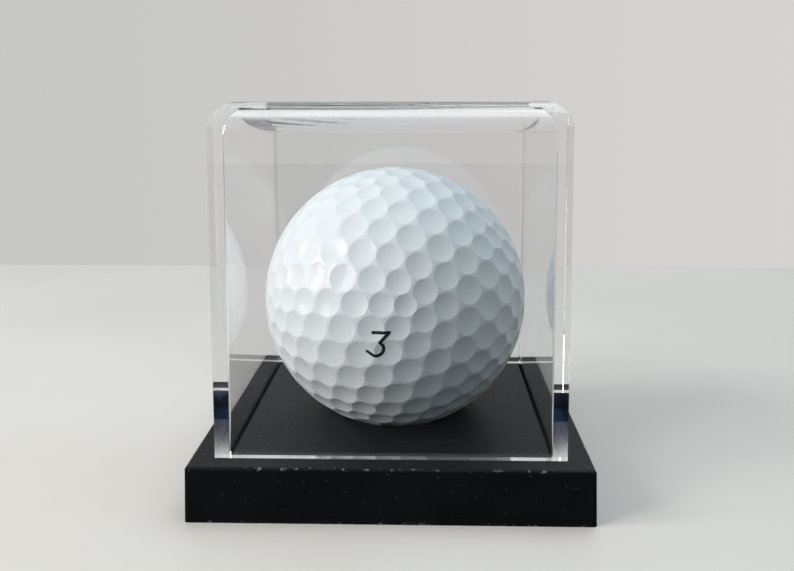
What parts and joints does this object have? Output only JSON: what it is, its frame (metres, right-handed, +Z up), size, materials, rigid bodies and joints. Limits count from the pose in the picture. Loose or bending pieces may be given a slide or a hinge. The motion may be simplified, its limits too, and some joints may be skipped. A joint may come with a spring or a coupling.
{
  "type": "golf ball display case",
  "caption": "Square black moulded base with a dish for a golf ball and a clear box-shaped cover that stands on it with a tab in a slot on either side and lifts off.",
  "frame": {"origin": "middle of the base's underside, on the surface that the case stands on", "axes": "+Z up, front of the case towards -Y, +X to the right seen from the front"},
  "size_m": [0.0584, 0.0584, 0.0586],
  "materials": {
    "base_plastic": "black moulded polystyrene, satin gloss",
    "clear_polystyrene": "clear moulded polystyrene, polished",
    "ball_cover": "white urethane with a clear gloss coat"
  },
  "bodies": {
    "base": {"base": "base_plastic"},
    "cover": {"cover": "clear_polystyrene"},
    "ball": {"golf_ball": "ball_cover"}
  },
  "joints": [
    {"name": "cover_lift", "type": "slide", "parent": "base", "child": "cover", "axis": [0, 0, 1], "range_m": [0, 0.06]},
    {"name": "ball_turn", "type": "hinge", "parent": "base", "child": "ball", "pos_m": [0, 0, 0.02669], "axis": [0, 0, 1], "continuous": true}
  ]
}
